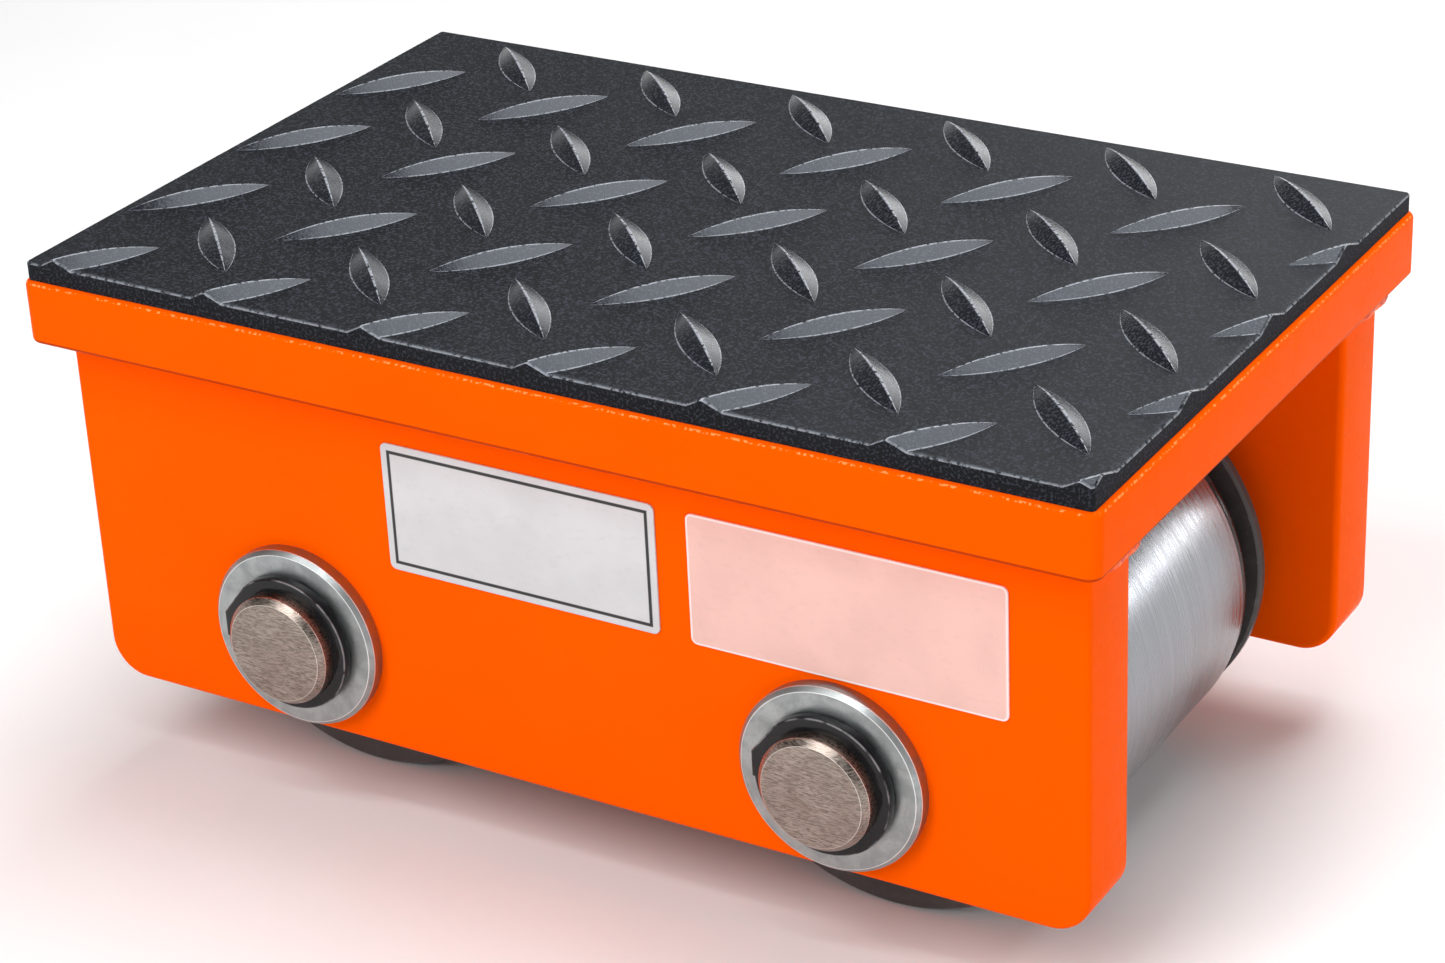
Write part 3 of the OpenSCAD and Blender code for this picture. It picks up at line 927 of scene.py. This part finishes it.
def retaining_ring_outline():
    """(x, up) points round an open ring, with a lug on its left that ends in an upright edge."""
    radius = AXLE_RADIUS + RING_BAND
    bore = AXLE_RADIUS - RING_GROOVE + 0.05 * MM
    reach = radius + 0.4 * MM
    slit = math.radians(215)
    outer_gap, inner_gap = RING_SLIT / 2 / radius, RING_SLIT / 2 / bore
    lug_top, lug_bottom = math.radians(132), math.radians(186)
    points = arc(radius, slit + outer_gap - 2 * math.pi, lug_top, 80)
    points += [(-reach, 0.28 * radius), (-reach, -0.1 * radius)]
    points += arc(radius, lug_bottom, slit - outer_gap, 12)
    points += arc(bore, slit - inner_gap, slit + inner_gap - 2 * math.pi, 90)
    return points


def make_retaining_ring(node, end):
    box, axis = Box(node), axle_of(node)
    bm = new_bmesh("edge")
    points = retaining_ring_outline()
    inner_y, outer_y = (box.low.y, box.high.y) if end > 0 else (box.high.y, box.low.y)
    rings = []
    for y in (inner_y, outer_y):
        rings.append(add_ring(bm, [(axis.x + x, y, axis.z - end * up) for x, up in points]))
    bridge(bm, rings[0], rings[1])
    caps = [bm.faces.new(ring) for ring in rings]
    bmesh.ops.recalc_face_normals(bm, faces=bm.faces)
    rim = list({e for cap in caps for e in cap.edges})
    bevel = bmesh.ops.bevel(
        bm, geom=rim, offset=0.35 * MM, segments=3, profile=0.5, affect="EDGES", clamp_overlap=True
    )
    rounding = set(bevel["faces"])
    edge = bm.verts.layers.float["edge"]
    # Only the rows that touch nothing but the rounding count as its edge, which the finish paints with
    # a highlight
    for vertex in bevel["verts"]:
        if rounding.issuperset(vertex.link_faces):
            vertex[edge] = 1.0
    return finish_piece(node, bm, 35)


# ---- rollers ----


def make_roller_shell(side):
    """A thick tube with chamfered ends, bored at each end for a bearing."""
    node = side + "_roller_shell"
    box = Box(node)
    middle, end_y, radius = box.centre.y, box.size.y / 2, box.size.x / 2
    chamfer = 0.8 * MM
    race = Box(side + "_rear_outer_race")
    bore, bore_end = race.size.x / 2, race.low.y - middle
    half = [
        (radius, end_y - chamfer),
        (radius - chamfer, end_y),
        (bore, end_y),
        (bore, bore_end),
        (bore - 2.5 * MM, bore_end),
    ]
    return finish_piece(node, turned(node, both_ends(half, middle), 0.2 * MM, 192), 30)


def make_flange_disc(node, end):
    """A turned disc on a hub; its spigot enters the roller and holds the bearing in."""
    box = Box(node)
    prefix = node.removesuffix("flange_disc")
    dust, race = Box(prefix + "dust_ring"), Box(prefix + "outer_race")

    def outer(of):
        return of.high.y if end > 0 else of.low.y

    inner_face = outer(box) - end * FLANGE_THICKNESS
    rim = box.size.x / 2
    spigot = race.size.x / 2
    hub = spigot + 2.0 * MM
    relief = Box(prefix + "bearing_shields").size.x / 2 + 0.3 * MM
    bore = Box(prefix + "end_spacer").size.x / 2 + 1.5 * MM
    profile = [
        (bore, dust.centre.y),
        (relief, dust.centre.y),
        (relief, outer(race)),
        (spigot, outer(race)),
        (spigot, outer(dust)),
        (hub, outer(dust)),
        (hub, inner_face),
        (rim - FLANGE_CHAMFER, inner_face),
        (rim, inner_face + end * FLANGE_CHAMFER),
        (rim, outer(box) - end * FLANGE_CHAMFER),
        (rim - FLANGE_CHAMFER, outer(box)),
        (bore, outer(box)),
    ]
    bm = turned(node, profile, 0.15 * MM)
    mark_hub(bm, axle_of(node), hub + FLANGE_CHAMFER)
    return finish_piece(node, bm, 30)


def mark_hub(bm, axis, radius):
    """Sets the edge layer to -1 on the vertices nearer to the axis than radius, where the flange's
    finish paints shade.
    """
    edge = bm.verts.layers.float["edge"]
    for vertex in bm.verts:
        if from_axis(vertex, axis) < radius:
            vertex[edge] = -1.0


def make_dust_ring(node):
    box = Box(node)
    radius = box.size.x / 2
    bore = Box(node.removesuffix("dust_ring") + "outer_race").size.x / 2
    profile = [(bore, box.low.y), (radius, box.low.y), (radius, box.high.y), (bore, box.high.y)]
    return finish_piece(node, turned(node, profile, 0.4 * MM), 30)


def finish_hidden_nodes():
    """Gives the CAD nodes that keep their own shape their procedural finishes."""
    for node, piece in frame["nodes"].items():
        finish = FINISHES[NODE_SLOT[node]]
        for material_slot in piece.material_slots:
            material_slot.material = finish


def make_trolley():
    make_deck()
    for end_name, end in ENDS:
        make_side_plate(end_name + "_side_plate")
        make_end_welds(end_name + "_end_welds", FRONT_PLATE)
        make_inner_weld(end_name + "_inner_weld", -end)
    make_tread_pad()
    make_label("left_label")
    make_label("right_label")
    for side in SIDES:
        make_axle(side)
        make_roller_shell(side)
        for end_name, end in ENDS:
            prefix = side + "_" + end_name + "_"
            make_washer(prefix + "washer", end)
            make_retaining_ring(prefix + "retaining_ring", end)
            make_flange_disc(prefix + "flange_disc", end)
            make_dust_ring(prefix + "dust_ring")
    finish_hidden_nodes()


# ---- studio ----


def make_floor():
    """A plain pale floor with very faint mottling."""
    mesh = bpy.data.meshes.new("floor")
    reach = 1.2
    corners = [(-reach, -reach, 0), (reach, -reach, 0), (reach, reach, 0), (-reach, reach, 0)]
    mesh.from_pydata(corners, [], [(0, 1, 2, 3)])
    floor = bpy.data.objects.new("floor", mesh)
    bpy.context.scene.collection.objects.link(floor)
    paper = Finish("floor_paper", Metallic=0.0)
    paper.colour(paper.mix(paper.noise(40 * MM, detail=4.0), (0.83, 0.83, 0.83), (0.87, 0.87, 0.87)))
    paper.roughness(0.75)
    mesh.materials.append(paper.material)


def make_world():
    """Soft studio surroundings: white near the horizon, dimmer above it."""
    world = bpy.data.worlds.new("studio")
    bpy.context.scene.world = world
    world.use_nodes = True
    tree = world.node_tree
    background = tree.nodes["Background"]
    direction = tree.nodes.new("ShaderNodeTexCoord")
    split = tree.nodes.new("ShaderNodeSeparateXYZ")
    height = tree.nodes.new("ShaderNodeMapRange")
    height.interpolation_type = "SMOOTHSTEP"
    height.inputs["From Min"].default_value = 0.08
    height.inputs["From Max"].default_value = 0.3
    height.inputs["To Min"].default_value = 1.0
    height.inputs["To Max"].default_value = 0.12
    tree.links.new(direction.outputs["Generated"], split.inputs[0])
    tree.links.new(split.outputs["Z"], height.inputs["Value"])
    tree.links.new(height.outputs["Result"], background.inputs["Strength"])
    background.inputs["Color"].default_value = (1, 1, 1, 1)


def softbox(name, azimuth, elevation, distance, width, height, watts):
    """A rectangular area light that faces the trolley. Azimuth 0 is in front of it, 90 to its right."""
    light = bpy.data.lights.new(name, "AREA")
    light.shape = "RECTANGLE"
    light.size = width
    light.size_y = height
    light.energy = watts
    lamp = bpy.data.objects.new(name, light)
    bpy.context.scene.collection.objects.link(lamp)
    away = from_target(math.radians(azimuth), math.radians(elevation))
    lamp.location = AIM + away * distance
    lamp.rotation_euler = away.to_track_quat("Z", "Y").to_euler()


def from_target(azimuth, elevation):
    """Unit vector from the target towards an azimuth and elevation."""
    return Vector(
        (
            math.sin(azimuth) * math.cos(elevation),
            -math.cos(azimuth) * math.cos(elevation),
            math.sin(elevation),
        )
    )


def make_lights():
    softbox("key", -10, 42, 1.2, 0.7, 0.7, 8)
    softbox("strip", 10, 62, 1.2, 0.9, 0.04, 2.5)
    softbox("overhead", 166, 68, 1.1, 0.7, 0.9, 11)
    softbox("right_fill", 80, 26, 1.2, 0.6, 0.7, 2.5)
    softbox("rear_rim", 143, 6, 1.2, 0.6, 0.06, 1.3)
    softbox("rear_low", 188, 13, 1.2, 0.5, 0.45, 1.3)


def make_camera():
    camera = bpy.data.objects.new("camera", bpy.data.cameras.new("camera"))
    bpy.context.scene.collection.objects.link(camera)
    camera.data.lens = LENS
    camera.data.clip_start = 0.01
    away = from_target(AZIMUTH, ELEVATION)
    level_right = Vector((math.cos(AZIMUTH), math.sin(AZIMUTH), 0))
    level_up = away.cross(level_right)
    right = level_right * math.cos(ROLL) - level_up * math.sin(ROLL)
    up = level_up * math.cos(ROLL) + level_right * math.sin(ROLL)
    rotation = Matrix((right, up, away)).transposed().to_4x4()
    camera.matrix_world = Matrix.Translation(AIM + away * DISTANCE) @ rotation
    bpy.context.scene.camera = camera


make_trolley()
make_floor()
make_world()
make_lights()
make_camera()
bpy.context.scene.view_settings.view_transform = "Standard"
